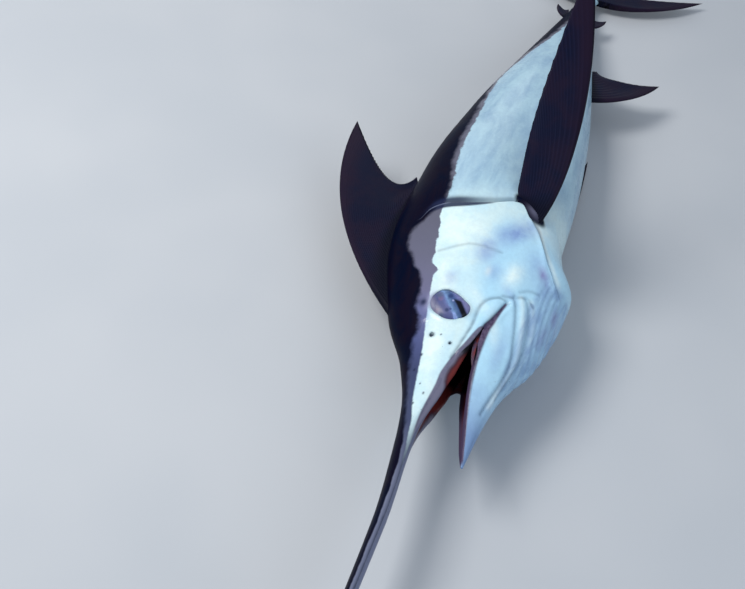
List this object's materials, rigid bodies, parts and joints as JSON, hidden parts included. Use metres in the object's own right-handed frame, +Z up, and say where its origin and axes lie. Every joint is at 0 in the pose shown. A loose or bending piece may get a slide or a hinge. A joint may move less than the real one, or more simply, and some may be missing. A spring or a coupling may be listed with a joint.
{
  "type": "swordfish",
  "caption": "Swordfish lying on its right side at life size, long flat bill forward, mouth open, one breast fin raised.",
  "frame": {"origin": "middle of the bounding box's bottom face, on the ground that the fish lies on", "axes": "+X towards the tip of the bill, +Z up from the right side, which lies on the ground, to the left side, and -Y towards the fish's back"},
  "size_m": [1.815, 0.464, 0.3902],
  "materials": {
    "white_skin": "wet, smooth, scaleless white skin of the face and belly",
    "back_skin": "wet, smooth, scaleless dark back shading to a silver-white flank",
    "bill_horn": "smooth dark horny bill with a paler edge",
    "fin_skin": "wet, dark purplish-brown fin skin over fine rays",
    "eye": "large clear wet eye with a blue-grey iris and a dark pupil"
  },
  "bodies": {
    "root": {"head": "white_skin", "lower_jaw": "white_skin", "throat": "white_skin", "gill_cover_left": "white_skin", "gill_cover_right": "white_skin", "bill": "bill_horn", "torso": "back_skin", "rear_trunk": "back_skin", "tail_stalk": "back_skin", "keel_left": "back_skin", "keel_right": "back_skin", "first_dorsal_fin": "fin_skin", "second_dorsal_fin": "fin_skin", "first_anal_fin": "fin_skin", "second_anal_fin": "fin_skin", "pectoral_fin_left": "fin_skin", "pectoral_fin_right": "fin_skin", "tail_fin_upper": "fin_skin", "tail_fin_lower": "fin_skin", "eye_left": "eye", "eye_right": "eye"}
  },
  "joints": []
}
